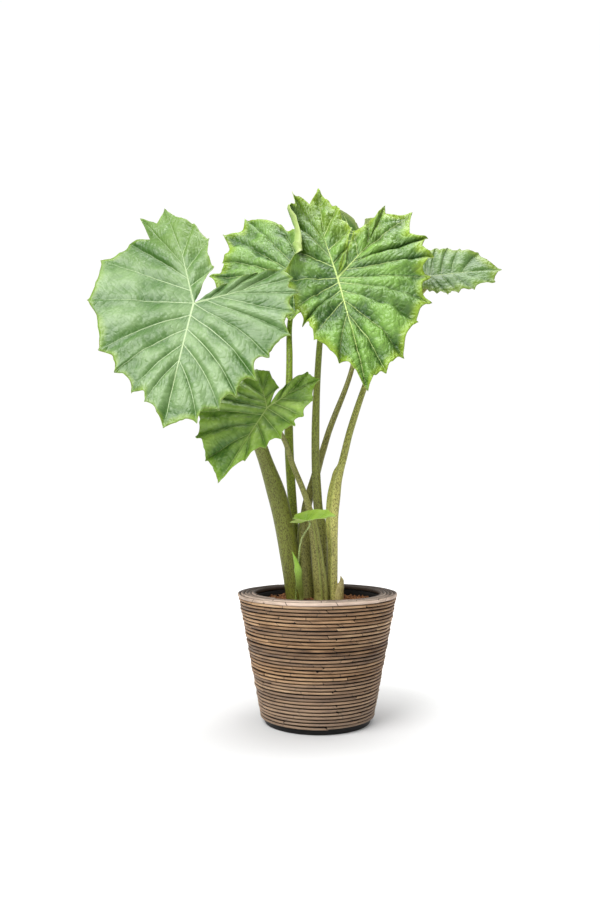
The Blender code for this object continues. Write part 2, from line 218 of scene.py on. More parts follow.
def setStudio():
    world = bpy.data.worlds.new("studio")
    world.use_nodes = True
    back = world.node_tree.nodes["Background"]
    back.inputs["Color"].default_value = (1, 1, 1, 1)
    back.inputs["Strength"].default_value = studio["sky"]
    bpy.context.scene.world = world
    bpy.context.scene.view_settings.view_transform = "Standard"
    bpy.context.scene.view_settings.look = "None"
    addPanel("keyPanel", studio["keyPlace"], studio["keySize"], studio["keyPower"])
    addPanel("topPanel", studio["topPlace"], studio["topSize"], studio["topPower"])
    # painted light and shadow: the floor glows a little more the further it is from the pot's front, so that
    # a painted shadow is left in front of the pot, and runs into the backdrop
    floorMaterial, tree, shader = newMaterial("paleFloor", 0.9, 0.1)
    shader.inputs["Base Color"].default_value = (*[studio["floorTone"]] * 3, 1)
    away = addNode(tree, "ShaderNodeVectorMath", operation="DISTANCE")
    wire(tree, objectPlace(tree), away.inputs[0])
    away.inputs[1].default_value = studio["glowFrom"]
    glow = fade(tree, away.outputs["Value"], 0.0, studio["glowReach"])
    glow = maths(tree, "MULTIPLY", glow, studio["farGlow"] - studio["nearGlow"])
    glow = maths(tree, "ADD", glow, studio["nearGlow"])
    shader.inputs["Emission Color"].default_value = (1, 1, 1, 1)
    wire(tree, glow, shader.inputs["Emission Strength"])
    bm = bmesh.new()
    bmesh.ops.create_circle(bm, cap_ends=True, radius=studio["radius"], segments=96)
    stagePiece("floor", bm, floorMaterial)
    # a white cyclorama all round, which the camera sees but which lights nothing
    wall, tree, shader = newMaterial("cyclorama", 1.0, 0.0)
    shader.inputs["Base Color"].default_value = (0, 0, 0, 1)
    shader.inputs["Emission Color"].default_value = (1, 1, 1, 1)
    shader.inputs["Emission Strength"].default_value = 1.02
    bm = bmesh.new()
    bmesh.ops.create_uvsphere(bm, u_segments=48, v_segments=24, radius=studio["radius"] + 0.1)
    backdrop = stagePiece("backdrop", bm, wall)
    for ray in ("diffuse", "glossy", "shadow", "transmission"):
        setattr(backdrop, f"visible_{ray}", False)


# the rattan canes of the wall and the rim

rattan = dict(stripLow=0.13, stripHigh=0.36, joint=0.0016, sides=12, stepLength=0.010, wobble=0.0015,
              halfHeight=0.0034, halfDepth=0.0036, wallTone=0.57, rimTone=0.74, toneSpread=0.13,
              darkBelts=[(0.60, 0.06, -0.26), (0.30, 0.05, -0.06)],      # share of the height, width, tone
              knotGap=0.058, rimGap=0.0003)
rattanTones = dict(
    wall=[(0.0, (0.040, 0.022, 0.012)), (0.22, (0.125, 0.068, 0.034)), (0.45, (0.235, 0.135, 0.066)),
          (0.62, (0.330, 0.195, 0.098)), (0.80, (0.440, 0.275, 0.145)), (1.0, (0.56, 0.38, 0.22))],
    rim=[(0.0, (0.10, 0.065, 0.045)), (0.22, (0.22, 0.155, 0.115)), (0.45, (0.36, 0.275, 0.215)),
         (0.62, (0.48, 0.365, 0.280)), (0.80, (0.57, 0.44, 0.35)), (1.0, (0.66, 0.53, 0.43))])


def caneNoise(tree, parts, scale, detail, roughness):
    # parts are the three things that the noise follows, and how fast it changes along each
    place = addNode(tree, "ShaderNodeCombineXYZ")
    for i, (value, amount) in enumerate(parts):
        wire(tree, scaled(tree, value, amount), place.inputs[i])
    node = addNode(tree, "ShaderNodeTexNoise", _Scale=scale, _Detail=detail, _Roughness=roughness)
    wire(tree, place.outputs[0], node.inputs["Vector"])
    return node.outputs["Fac"]


def rattanMaterial(name, stops):
    made, tree, shader = newMaterial(name, 0.5, 0.3)
    tone, run, turn = (attribute(tree, key) for key in ("tone", "run", "turn"))
    height = addNode(tree, "ShaderNodeSeparateXYZ")
    wire(tree, objectPlace(tree), height.inputs[0])
    ramp = addNode(tree, "ShaderNodeValToRGB")
    ramp.color_ramp.elements[0].color = (*stops[0][1], 1)
    ramp.color_ramp.elements[1].color = (*stops[-1][1], 1)
    for place, colour in stops[1:-1]:
        ramp.color_ramp.elements.new(place).color = (*colour, 1)
    # fibres and blotches follow the cane, and differ from cane to cane with its tone
    fibre = caneNoise(tree, [(run, 14.0), (turn, 16.0), (tone, 40.0)], 1.6, 6.0, 0.62)
    patch = caneNoise(tree, [(run, 26.0), (tone, 90.0), (turn, 2.5)], 1.0, 2.0, 0.5)
    shade = maths(tree, "ADD", tone, scaled(tree, maths(tree, "SUBTRACT", fibre, 0.5), 0.62))
    blotch = scaled(tree, maths(tree, "SUBTRACT", patch, 0.5), 0.90)
    shade = maths(tree, "ADD", shade, blotch, clamp=True)
    wire(tree, shade, ramp.inputs["Fac"])
    # knots: a thin dark ring now and then along each cane
    knot = maths(tree, "PINGPONG", maths(tree, "ADD", run, scaled(tree, tone, 1.7)), rattan["knotGap"])
    knotMask = fadeOut(tree, knot, 0.0006, 0.0018)
    colour = blendColours(tree, scaled(tree, knotMask, 0.8), ramp.outputs["Color"], (0.07, 0.04, 0.025))
    # grey, weathered patches, and a greyer foot
    belt = fade(tree, noiseOf(tree, 2.2, 3.0, (0.6, 0.6, 9.0)), 0.48, 0.62)
    colour = blendColours(tree, scaled(tree, belt, 0.35), colour, (0.16, 0.125, 0.10))
    foot = fadeOut(tree, height.outputs["Z"], 0.04, 0.16)
    colour = blendColours(tree, scaled(tree, foot, 0.45), colour, (0.30, 0.235, 0.185))
    # painted shade: the joints between the canes and the backs of the canes are darkened where shade falls
    paintedGapShade = attribute(tree, "paintedGapShade")
    colour = blendColours(tree, scaled(tree, paintedGapShade, 0.92), colour, (0.022, 0.013, 0.008))
    wire(tree, colour, shader.inputs["Base Color"])
    setRoughness(tree, shader, fibre, 0.38, 0.62)
    grain = maths(tree, "SUBTRACT", fibre, scaled(tree, knotMask, 0.5))
    bump(tree, shader, grain, 0.0007, 0.9)
    return made


def layCane(bm, layers, middleRadius, middleHeight, halfDepth, halfHeight, start, end, tone, rng):
    # one split cane: a rounded bar along an arc, with cut ends
    tones, runs, turns, paintedGapShades = layers
    length = (end - start) * middleRadius
    steps = max(4, round(length / rattan["stepLength"]))
    sides = rattan["sides"]
    made = bmesh.ops.create_grid(bm, x_segments=steps, y_segments=sides, size=0.5)["verts"]
    seed = rng.uniform(0, 90)
    slant = rng.uniform(-0.006, 0.006)
    swell = rng.uniform(0.90, 1.04)
    middleRadius += rng.uniform(-0.0010, 0.0005)
    middleHeight += rng.uniform(-0.0005, 0.0005)
    for vert in made:
        along = vert.co.x + 0.5
        around = (vert.co.y + 0.5) % 1.0
        turn = around * math.tau + math.pi     # the seam is at the back of the cane
        c, s = math.cos(turn), math.sin(turn)
        out = math.copysign(abs(c) ** 0.8, c) * halfDepth * swell
        up = math.copysign(abs(s) ** 0.8, s) * halfHeight * swell
        angle = start + (end - start) * along + slant * s / middleRadius
        drift = noise.noise(Vector((along * length * 9, seed, 0))) * rattan["wobble"]
        rise = noise.noise(Vector((along * length * 7, seed, 5))) * rattan["wobble"] * 0.8
        radius = middleRadius + out + drift
        vert.co = Vector((*onRing(angle, radius), middleHeight + up + rise))
        vert[tones] = tone
        vert[runs] = along * length + seed
        vert[turns] = abs(around - 0.5) * 2
        # painted shade at the top and bottom of the cane, where it meets the next course, and all over its
        # back
        vert[paintedGapShades] = max(0.0, (abs(s) - 0.62) / 0.38) ** 1.3 if c > -0.2 else 1.0
    bmesh.ops.remove_doubles(bm, verts=made, dist=1e-7)
    closeEnds(bm, made)


def caneCourse(name, middleRadius, middleHeight, halfDepth, halfHeight, material, rng, base, node):
    bm = bmesh.new()
    layers = [bm.verts.layers.float.new(key) for key in ("tone", "run", "turn", "paintedGapShade")]
    angle = rng.uniform(0, math.tau)
    stop = angle + math.tau
    while angle < stop - 0.02:
        end = angle + rng.uniform(rattan["stripLow"], rattan["stripHigh"]) / middleRadius
        if stop - end < rattan["stripLow"] * 0.5 / middleRadius:
            end = stop
        tone = min(0.98, max(0.02, rng.gauss(base, rattan["toneSpread"])))
        layCane(bm, layers, middleRadius, middleHeight, halfDepth, halfHeight, angle,
                end - rattan["joint"] / middleRadius, tone, rng)
        angle = end
    bmesh.ops.recalc_face_normals(bm, faces=bm.faces)
    finishPiece(name, bm, [material], (node,), smooth=60)


def makeCanes():
    rng = random.Random(7)
    wallMaterial = rattanMaterial("rattan", rattanTones["wall"])
    rimMaterial = rattanMaterial("rattanRim", rattanTones["rim"])
    halfHeight, halfDepth = rattan["halfHeight"], rattan["halfDepth"]
    walls = sorted(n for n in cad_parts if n.startswith("cane_wall_"))
    for i, node in enumerate(walls):
        low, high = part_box(node)
        share = i / (len(walls) - 1)
        belt = sum(tone * math.exp(-((share - at) / width) ** 2) for at, width, tone in rattan["darkBelts"])
        middle = high.x - 0.0002 - halfDepth
        caneCourse(f"wallCanes{i + 1:02d}", middle, (low.z + high.z) / 2, halfDepth, halfHeight,
                   wallMaterial, rng, rattan["wallTone"] + belt, node)
    rims = sorted(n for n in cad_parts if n.startswith("cane_rim_"))
    outers = [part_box(node)[1].x for node in rims]
    width = (outers[-1] - outers[0]) / (len(rims) - 1) - rattan["rimGap"]
    for i, node in enumerate(rims):
        low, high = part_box(node)
        drop = 0.0009 if i == len(rims) - 1 else 0.0       # the outermost coil lies a little lower
        caneCourse(f"rimCanes{i + 1}", outers[i] - width / 2, low.z + (high.z - low.z) / 2 - drop,
                   width / 2, (high.z - low.z) / 2, rimMaterial, rng, rattan["rimTone"], node)
    print("rattan laid:", len(walls), "wall courses and", len(rims), "rim courses")


# the liner and the soil

def linerMaterial():
    made, tree, shader = newMaterial("linerPlastic", 0.4, 0.15)
    cloud = noiseOf(tree, 30.0, 3.0)
    black = blendColours(tree, cloud, (0.008, 0.008, 0.008), (0.020, 0.019, 0.018))
    wire(tree, black, shader.inputs["Base Color"])
    setRoughness(tree, shader, cloud, 0.3, 0.5)
    bump(tree, shader, noiseOf(tree, 420.0, 2.0), 0.0002, 0.4)
    return made


def turnProfile(bm, profile, steps):
    verts = [bm.verts.new((r, 0, z)) for r, z in profile]
    edges = [bm.edges.new(pair) for pair in zip(verts, verts[1:] + verts[:1])]
    bmesh.ops.spin(bm, geom=verts + edges, cent=(0, 0, 0), axis=(0, 0, 1), angle=math.tau, steps=steps,
                   use_merge=True)
    bmesh.ops.remove_doubles(bm, verts=bm.verts, dist=1e-6)
    bmesh.ops.dissolve_degenerate(bm, edges=bm.edges, dist=1e-7)


liner = dict(foot=0.133, behindWall=0.0078, insideRim=0.0086, steps=128)


def makeLiner():
    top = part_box("pot_liner")[1]
    wallLow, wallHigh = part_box("cane_wall_01")
    foot = liner["foot"]
    back = wallHigh.x - liner["behindWall"]
    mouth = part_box("cane_rim_1")[1].x - liner["insideRim"]
    bm = bmesh.new()
    profile = [(0.0, 0.0015), (foot - 0.012, 0.0015), (foot - 0.009, 0.0), (foot - 0.002, 0.0),
               (foot - 0.0006, 0.0006), (foot, 0.002), (foot, wallLow.z - 0.0008),
               (back, wallLow.z - 0.0004), (top.x, top.z - 0.0002), (mouth + 0.0005, top.z - 0.0002),
               (mouth - 0.0015, top.z - 0.0010), (mouth - 0.0022, top.z - 0.0030), (mouth - 0.0035, 0.28),
               (foot - 0.008, 0.012), (foot - 0.014, 0.006), (0.0, 0.006)]
    turnProfile(bm, profile, liner["steps"])
    bmesh.ops.recalc_face_normals(bm, faces=bm.faces)
    finishPiece("liner", bm, [linerMaterial()], ("pot_liner",), smooth=30)
    print("liner turned")


soil = dict(rings=44, spokes=150, crumbs=900, fibres=260)


def soilMaterial(name, dark, light, roughness):
    made, tree, shader = newMaterial(name, roughness, 0.2)
    clump = noiseOf(tree, 90.0, 8.0, roughness=0.7)
    colour = blendColours(tree, fade(tree, clump, 0.35, 0.7), dark, light)
    speck = addNode(tree, "ShaderNodeTexVoronoi", _Scale=210.0)
    wire(tree, objectPlace(tree), speck.inputs["Vector"])
    colour = blendColours(tree, fadeOut(tree, speck.outputs["Distance"], 0.1, 0.34), colour, light)
    wire(tree, colour, shader.inputs["Base Color"])
    bump(tree, shader, clump, 0.003, 1.0)
    return made


def soilHeight(x, y, level):
    away = math.hypot(x, y)
    mound = 0.006 * math.exp(-(away / 0.085) ** 2)
    rough = noise.noise(Vector((x * 60, y * 60, 0))) * 0.0022
    rough += noise.noise(Vector((x * 190, y * 190, 4))) * 0.0016
    return level + mound + rough


def scatter(edge, share, rng):
    # a random place on the soil, within that share of its area
    radius = edge * math.sqrt(rng.uniform(0.0, share))
    return onRing(rng.uniform(0, math.tau), radius)


def makeSoil():
    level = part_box("soil")[1].z
    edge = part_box("cane_rim_1")[1].x - 0.0118
    bm = bmesh.new()
    bmesh.ops.create_grid(bm, x_segments=soil["spokes"], y_segments=soil["rings"], size=0.5)
    for vert in bm.verts:
        angle = (vert.co.x + 0.5) * math.tau
        radius = (vert.co.y + 0.5) * edge
        x, y = onRing(angle, radius)
        vert.co = Vector((x, y, soilHeight(x, y, level) - 0.004 * max(0.0, radius / edge - 0.9) * 10))
    bmesh.ops.remove_doubles(bm, verts=bm.verts, dist=1e-6)
    bmesh.ops.recalc_face_normals(bm, faces=bm.faces)
    if sum(f.normal.z for f in bm.faces) < 0:
        bmesh.ops.reverse_faces(bm, faces=bm.faces)
    rimEdges = [e for e in bm.edges if e.is_boundary]
    skirt = bmesh.ops.extrude_edge_only(bm, edges=rimEdges)["geom"]
    for item in skirt:
        if isinstance(item, bmesh.types.BMVert):
            item.co.z = level - 0.05
    closeEnds(bm, [v for v in skirt if isinstance(v, bmesh.types.BMVert)])
    bmesh.ops.recalc_face_normals(bm, faces=bm.faces)
    material = soilMaterial("soil", (0.045, 0.018, 0.008), (0.36, 0.150, 0.058), 0.9)
    finishPiece("soilBed", bm, [material], ("soil",))
    rng = random.Random(11)
    bm = bmesh.new()
    for _ in range(soil["crumbs"]):
        x, y = scatter(edge, 0.96, rng)
        size = rng.uniform(0.0012, 0.0042) * (1.0 if rng.random() < 0.9 else 1.7)
        turn = Matrix.Rotation(rng.uniform(0, math.pi), 4, (rng.uniform(-1, 1), rng.uniform(-1, 1), 1))
        stretch = Matrix.Diagonal((1.0, rng.uniform(0.5, 0.9), rng.uniform(0.4, 0.8), 1.0))
        place = Matrix.Translation((x, y, soilHeight(x, y, level) + size * 0.2))
        bmesh.ops.create_icosphere(bm, subdivisions=1, radius=size, matrix=place @ turn @ stretch)
    material = soilMaterial("soilCrumb", (0.09, 0.036, 0.016), (0.46, 0.20, 0.08), 0.85)
    finishPiece("soilCrumbs", bm, [material], smooth=20)
    bm = bmesh.new()
    for _ in range(soil["fibres"]):
        x, y = scatter(edge, 0.95, rng)
        length = rng.uniform(0.005, 0.017)
        tilt = Matrix.Rotation(rng.uniform(0, math.tau), 4, "Z")
        tilt = tilt @ Matrix.Rotation(math.pi / 2 + rng.uniform(-0.35, 0.35), 4, "X")
        place = Matrix.Translation((x, y, soilHeight(x, y, level) + 0.0022))
        bmesh.ops.create_cone(bm, cap_ends=True, segments=5, radius1=rng.uniform(0.0005, 0.0012),
                              radius2=0.0003, depth=length, matrix=place @ tilt)
    material = soilMaterial("soilFibre", (0.20, 0.09, 0.04), (0.50, 0.27, 0.12), 0.8)
    finishPiece("soilFibres", bm, [material])
    print("soil filled")


# A blade is drawn in its own plane from the joint with its stalk, with tip and face the directions of
# its tip and of its upper side. Each side lists the teeth of the margin as (degrees from the tip, reach,
# lift out of the plane): inner ones along the notch, outer ones round the lobe, main ones down to the
# tip. A curl or a deep entry is (degrees, width in degrees, strength) of a rolled or a darker stretch.

blade = dict(columns=16, rows=46, thickness=0.0009, ribReach=0.60, ribWidth=0.0030, veinWidth=0.0012,
             tooth=0.0045, toothWidth=0.0055, smallTooth=0.45, wave=0.0035,
             curlFrom=0.66, curlRadius=0.013, widest=0.055,      # widest is the gap of the fullest panel
             crumples=[(16, 1.0), (38, 0.6), (85, 0.28)])        # pitch and share of each size of crumple

leaves = {
    "leaf_front_left": dict(
        joint=(-0.284, -0.200, 0.998), tip=(-0.16, -0.41, -0.90), face=(-0.05, -0.905, 0.42),
        length=0.314, droop=0.02, fold=0.10, quilt=0.17, bay=0.06, crumple=0.0042, frill=0.008,
        spring=(0.62, 1.1), net=0.0008, tint="pale",
        left=dict(rib=(157, 0.24),
                  deep=[(131, 11, 1.0), (42, 8, 0.60), (84, 6, 0.30)],
                  inner=[(194, 0.03, 0), (192, 0.11, -0.004), (178, 0.19, 0.004), (167, 0.245, 0)],
                  outer=[(154, 0.318, -0.012), (148, 0.290, -0.022, "bay"), (143, 0.334, -0.032),
                         (141, 0.262, -0.034, "bay"),
                         (131, 0.262, -0.026), (110, 0.252, 0)],
                  main=[(82, 0.237, 0.004), (49, 0.236, 0), (33, 0.24, 0), (19, 0.258, 0), (11, 0.264, 0)]),
        right=dict(rib=(113, 0.19), deep=[(62, 6, 0.4), (120, 7, 0.45)],
                   inner=[(140, 0.03, 0), (132, 0.09, 0.003), (128, 0.16, 0), (123, 0.227, -0.004)],
                   outer=[(113, 0.228, 0), (102, 0.234, 0), (89, 0.232, -0.004), (74, 0.241, 0)],
                   main=[(57, 0.232, 0), (44, 0.254, 0), (32, 0.268, 0), (23, 0.284, 0), (13, 0.300, 0)])),
    "leaf_front_right": dict(
        joint=(0.045, -0.130, 1.074), tip=(0.214, -0.363, -0.907), face=(0.05, -0.923, 0.381),
        length=0.296, droop=0.02, fold=0.12, quilt=0.25, bay=0.06, crumple=0.0115, frill=0.014,
        spring=(0.46, 1.5), net=0.0021, tint="rich",
        left=dict(rib=(178, 0.21),
                  inner=[(208, 0.03, 0), (208, 0.09, 0), (206, 0.15, 0), (193, 0.215, 0)],
                  curl=[(137, 24, 1.0)], deep=[(158, 12, 0.7), (92, 16, 0.7), (38, 7, 0.5)],
                  outer=[(184, 0.285, -0.01), (177, 0.250, -0.012, "bay"), (170, 0.284, -0.015),
                         (166, 0.252, -0.018, "bay"), (160, 0.262, -0.02), (140, 0.172, -0.01)],
                  main=[(101, 0.127, -0.02), (62, 0.128, -0.015), (44, 0.15, -0.01), (30, 0.185, 0),
                        (12, 0.218, 0)]),
        right=dict(rib=(130, 0.20), deep=[(50, 8, 0.5), (96, 7, 0.4)],
                   inner=[(151, 0.03, 0), (151, 0.09, 0), (151, 0.142, 0), (142, 0.187, 0)],
                   outer=[(139, 0.252, -0.006), (136, 0.236, -0.008, "bay"), (125, 0.272, -0.01),
                          (113, 0.226, -0.01, "bay"),
                          (107, 0.25, -0.01), (93, 0.237, 0)],
                   main=[(77, 0.214, 0), (60, 0.224, 0), (43, 0.217, 0), (23, 0.252, 0), (11, 0.264, 0)])),
    "leaf_low_left": dict(
        joint=(-0.119, -0.175, 0.764), tip=(-0.494, -0.345, -0.798), face=(-0.05, -0.905, 0.422),
        length=0.212, droop=0.01, fold=0.15, quilt=0.24, bay=0.05, crumple=0.0062, frill=0.009,
        spring=(0.50, 1.2), net=0.0013, tint="deep",
        left=dict(rib=(138, 0.08),
                  inner=[(182, 0.015, 0), (176, 0.06, 0), (152, 0.098, 0)],
                  outer=[(136, 0.107, -0.004), (112, 0.098, -0.006), (87, 0.10, 0)],
                  main=[(72, 0.125, 0.004), (55, 0.157, 0), (35, 0.174, 0), (17, 0.185, 0)]),
        right=dict(rib=(156, 0.10),
                   inner=[(178, 0.015, 0), (173, 0.077, 0), (165, 0.132, 0)],
                   outer=[(152, 0.142, -0.006), (129, 0.105, -0.01), (104, 0.085, -0.01)],
                   main=[(84, 0.076, -0.012), (52, 0.081, -0.012), (28, 0.098, -0.008), (10, 0.14, 0)])),
    "leaf_back_left": dict(
        joint=(-0.049, 0.120, 1.151), tip=(-0.75, -0.10, -0.60), face=(-0.10, -0.85, 0.50),
        length=0.26, droop=0.02, fold=0.12, quilt=0.24, bay=0.07, crumple=0.0105, frill=0.018,
        spring=(0.50, 1.3), net=0.0018, tint="back",
        left=dict(rib=(135, 0.10),
                  inner=[(180, 0.015, 0), (174, 0.06, 0), (158, 0.105, 0)],
                  outer=[(138, 0.15, 0), (113, 0.205, -0.008), (94, 0.275, -0.012)],
                  main=[(75, 0.265, -0.01), (54, 0.215, 0), (40, 0.237, 0), (20, 0.225, 0)]),
        right=dict(rib=(132, 0.10),
                   inner=[(176, 0.015, 0), (166, 0.06, 0), (152, 0.11, 0)],
                   outer=[(134, 0.138, -0.006), (110, 0.145, -0.01), (86, 0.14, -0.01)],
                   main=[(66, 0.14, -0.01), (47, 0.16, 0), (30, 0.19, 0), (14, 0.22, 0)])),
    "leaf_far_right": dict(
        joint=(0.287, 0.020, 1.12), tip=(0.985, 0.08, 0.12), face=(-0.05, -0.80, 0.60),
        length=0.186, droop=0.01, fold=0.10, quilt=0.16, bay=0.05, crumple=0.0035, frill=0.006,
        spring=(0.60, 1.0), net=0.0010, tint="far",
        left=dict(rib=(135, 0.045),
                  inner=[(176, 0.012, 0), (162, 0.03, 0), (142, 0.05, -0.004)],
                  outer=[(126, 0.05, -0.006), (106, 0.050, -0.010), (86, 0.056, -0.012)],
                  main=[(66, 0.070, -0.012), (50, 0.086, -0.010), (34, 0.115, -0.006), (17, 0.160, -0.003)]),
        right=dict(rib=(138, 0.055),
                   inner=[(177, 0.012, 0), (162, 0.04, 0), (140, 0.068, 0)],
                   outer=[(120, 0.082, -0.002), (100, 0.09, 0), (83, 0.095, 0)],
                   main=[(68, 0.108, 0), (54, 0.12, 0), (41, 0.13, 0), (25, 0.158, 0)])),
    "leaf_back_right": dict(
        joint=(0.135, 0.150, 1.243), tip=(0.35, 0.72, -0.60), face=(0.263, 0.54, 0.80),
        length=0.30, droop=0.03, fold=0.08, quilt=0.16, bay=0.06, crumple=0.0055, frill=0.008,
        spring=(0.60, 1.1), net=0.0018, tint="rich",
        left=dict(rib=(150, 0.10),
                  inner=[(178, 0.015, 0), (174, 0.05, 0), (164, 0.08, 0)],
                  outer=[(150, 0.09, -0.004), (126, 0.10, -0.012), (102, 0.115, -0.02)],
                  main=[(80, 0.135, -0.02), (57, 0.165, -0.01), (37, 0.205, 0), (18, 0.25, 0)]),
        right=dict(rib=(150, 0.10),
                   inner=[(178, 0.015, 0), (173, 0.07, 0), (163, 0.12, 0)],
                   outer=[(149, 0.13, -0.004), (126, 0.125, -0.012), (104, 0.13, -0.02)],
                   main=[(81, 0.145, -0.02), (58, 0.17, -0.01), (36, 0.205, 0), (16, 0.245, 0)])),
    "leaf_small": dict(
        joint=(-0.023, -0.115, 0.5045), tip=(0.95, -0.20, 0.28), face=(-0.24, -0.20, 0.95),
        length=0.066, droop=0.004, fold=0.12, quilt=0.08, bay=0.04, crumple=0.0012, frill=0.002,
        spring=(0.70, 1.0), net=0.0005, tint="fresh",
        left=dict(rib=(150, 0.035),
                  inner=[(178, 0.008, 0), (160, 0.042, 0.010)],
                  outer=[(138, 0.05, 0.012), (95, 0.044, 0.009)],
                  main=[(70, 0.042, 0.006), (32, 0.055, 0.003)]),
        right=dict(rib=(150, 0.035),
                   inner=[(178, 0.008, 0), (160, 0.042, 0.009)],
                   outer=[(138, 0.05, 0.010), (95, 0.044, 0.011)],
                   main=[(70, 0.042, 0.011), (32, 0.055, 0.008)])),
}

# The greens are set leaf by leaf to how bright each leaf shows where it hangs, so besides the leaves' own
# colour they carry painted light and shade.
tints = {   # dark green, light green, vein, margin
    "pale": ((0.036, 0.110, 0.008), (0.180, 0.284, 0.112), (0.36, 0.47, 0.24), (0.17, 0.28, 0.030)),
    "rich": ((0.016, 0.066, 0.004), (0.175, 0.335, 0.055), (0.46, 0.60, 0.19), (0.25, 0.38, 0.020)),
    "back": ((0.022, 0.080, 0.006), (0.155, 0.290, 0.055), (0.40, 0.52, 0.17), (0.22, 0.35, 0.018)),
    "far": ((0.038, 0.100, 0.014), (0.112, 0.205, 0.048), (0.24, 0.34, 0.11), (0.17, 0.26, 0.018)),
    "deep": ((0.045, 0.130, 0.009), (0.300, 0.465, 0.080), (0.38, 0.50, 0.14), (0.17, 0.31, 0.015)),
    "fresh": ((0.15, 0.28, 0.012), (0.25, 0.41, 0.03), (0.34, 0.50, 0.09), (0.30, 0.46, 0.05)),
}


def leafMaterial(name, tint, net):
    dark, light, vein, margin = tints[tint]
    made, tree, shader = newMaterial(name, 0.42, 0.46)
    fromVein, fromRib = attribute(tree, "vein"), attribute(tree, "rib")
    fromEdge, run = attribute(tree, "edge"), attribute(tree, "run")
    spread = attribute(tree, "spread")
    cloud = noiseOf(tree, 14.0, 6.0, roughness=0.6)
    fine = noiseOf(tree, 150.0, 4.0)
    # painted shade: hollows of the blade's relief are painted darker than the puffed panels between the
    # veins, mixed with random cloudy tone
    broad = noiseOf(tree, 7.0, 3.0)
    level = maths(tree, "ADD", scaled(tree, attribute(tree, "paintedReliefShade"), 0.50), scaled(tree, cloud, 0.22))
    level = maths(tree, "ADD", level, scaled(tree, broad, 0.28))
    green = blendColours(tree, fade(tree, level, 0.25, 0.75), dark, light)
    green = blendColours(tree, scaled(tree, fade(tree, fine, 0.4, 0.75), 0.25), green, light)
    # painted shade in the valleys beside each vein
    paintedValleyShade = fadeOut(tree, spread, 0.0, 0.010)
    green = blendColours(tree, scaled(tree, paintedValleyShade, 0.38), green, dark)
    lobe = fade(tree, attribute(tree, "lobe"), 0.10, 0.80)
    lobe = maths(tree, "MULTIPLY", lobe, fade(tree, cloud, 0.30, 0.6))
    shaded = tuple((a + b) / 2 for a, b in zip(dark, margin))
    green = blendColours(tree, scaled(tree, lobe, 0.75), green, shaded)
    # deep stretches, where the blade folds away from the light
    shadow = maths(tree, "MULTIPLY", attribute(tree, "deep"), fade(tree, cloud, 0.15, 0.5))
    green = blendColours(tree, shadow, green, tuple(c * 0.9 for c in dark))
    # side veinlets leave each vein slanting outwards, and a fine net of them fills the panel
    drift = scaled(tree, noiseOf(tree, 22.0, 3.0), 0.035)
    phase = maths(tree, "ADD", maths(tree, "SUBTRACT", run, scaled(tree, spread, 0.7)), drift)
    let = maths(tree, "PINGPONG", phase, 0.0075)
    veinlet = fadeOut(tree, let, 0.0, 0.0014)
    cells = addNode(tree, "ShaderNodeTexVoronoi", feature="DISTANCE_TO_EDGE", _Scale=78.0)
    wire(tree, objectPlace(tree), cells.inputs["Vector"])
    netLine = fadeOut(tree, cells.outputs["Distance"], 0.0, 0.10)
    green = blendColours(tree, scaled(tree, veinlet, 0.12), green, vein)
    green = blendColours(tree, scaled(tree, netLine, 0.14), green, dark)
    # yellow-green margin, uneven in width, with a thin dry line at the very edge
    ragged = maths(tree, "ADD", fromEdge, scaled(tree, maths(tree, "SUBTRACT", cloud, 0.5), 0.05))
    edgeMask = fadeOut(tree, ragged, -0.004, 0.014 if tint == "pale" else 0.027)
    green = blendColours(tree, scaled(tree, edgeMask, 0.80), green, margin)
    dry = fadeOut(tree, fromEdge, 0.0004, 0.0018)
    dry = maths(tree, "MULTIPLY", dry, fade(tree, noiseOf(tree, 40.0, 2.0), 0.45, 0.6))
    green = blendColours(tree, scaled(tree, dry, 0.6), green, (0.16, 0.11, 0.03))
    veinMask = fadeOut(tree, fromVein, 0.40, 1.30)
    ribMask = fadeOut(tree, fromRib, 0.40, 0.95)
    both = maths(tree, "MAXIMUM", scaled(tree, veinMask, 0.80), ribMask)
    green = blendColours(tree, both, green, vein)
    wire(tree, green, shader.inputs["Base Color"])
    setRoughness(tree, shader, cloud, 0.32, 0.52)
    puff = scaled(tree, fade(tree, cells.outputs["Distance"], 0.0, 0.35), 0.55)
    lift = maths(tree, "ADD", scaled(tree, fade(tree, let, 0.0, 0.0050), 0.40), puff)
    lift = maths(tree, "ADD", lift, scaled(tree, fine, 0.2))
    lift = maths(tree, "ADD", lift, scaled(tree, both, 0.55))
    bump(tree, shader, lift, net, 1.0)
    return made


def leafUnderMaterial(name, tint):
    dark, light, vein, _ = tints[tint]
    made, tree, shader = newMaterial(name, 0.5)
    fromVein, fromRib, fromEdge = (attribute(tree, key) for key in ("vein", "rib", "edge"))
    cloud = noiseOf(tree, 16.0, 5.0)
    duller = tuple(0.45 * a + 0.55 * b for a, b in zip(dark, light))
    paler = tuple(0.7 * a + 0.3 * b for a, b in zip(light, (0.34, 0.50, 0.14)))
    # painted shade from the blade's relief as seen from below, mixed with random cloudy tone
    level = maths(tree, "ADD", scaled(tree, attribute(tree, "paintedReliefShade"), 0.6), scaled(tree, cloud, 0.4))
    green = blendColours(tree, fade(tree, level, 0.25, 0.75), paler, duller)
    edgeMask = fadeOut(tree, fromEdge, 0.004, 0.035)
    green = blendColours(tree, scaled(tree, edgeMask, 0.7), green, (0.38, 0.46, 0.15))
    veinMask = fadeOut(tree, fromVein, 0.8, 2.0)
    ribMask = fadeOut(tree, fromRib, 0.9, 1.6)
    both = maths(tree, "MAXIMUM", veinMask, ribMask)
    wire(tree, blendColours(tree, both, green, vein), shader.inputs["Base Color"])
    bump(tree, shader, maths(tree, "ADD", both, scaled(tree, noiseOf(tree, 150.0, 3.0), 0.3)), 0.0022, 0.8)
    return made


def polar(degrees, reach, lift=0.0):
    turn = math.radians(degrees)
    return Vector((math.sin(turn) * reach, math.cos(turn) * reach, lift))


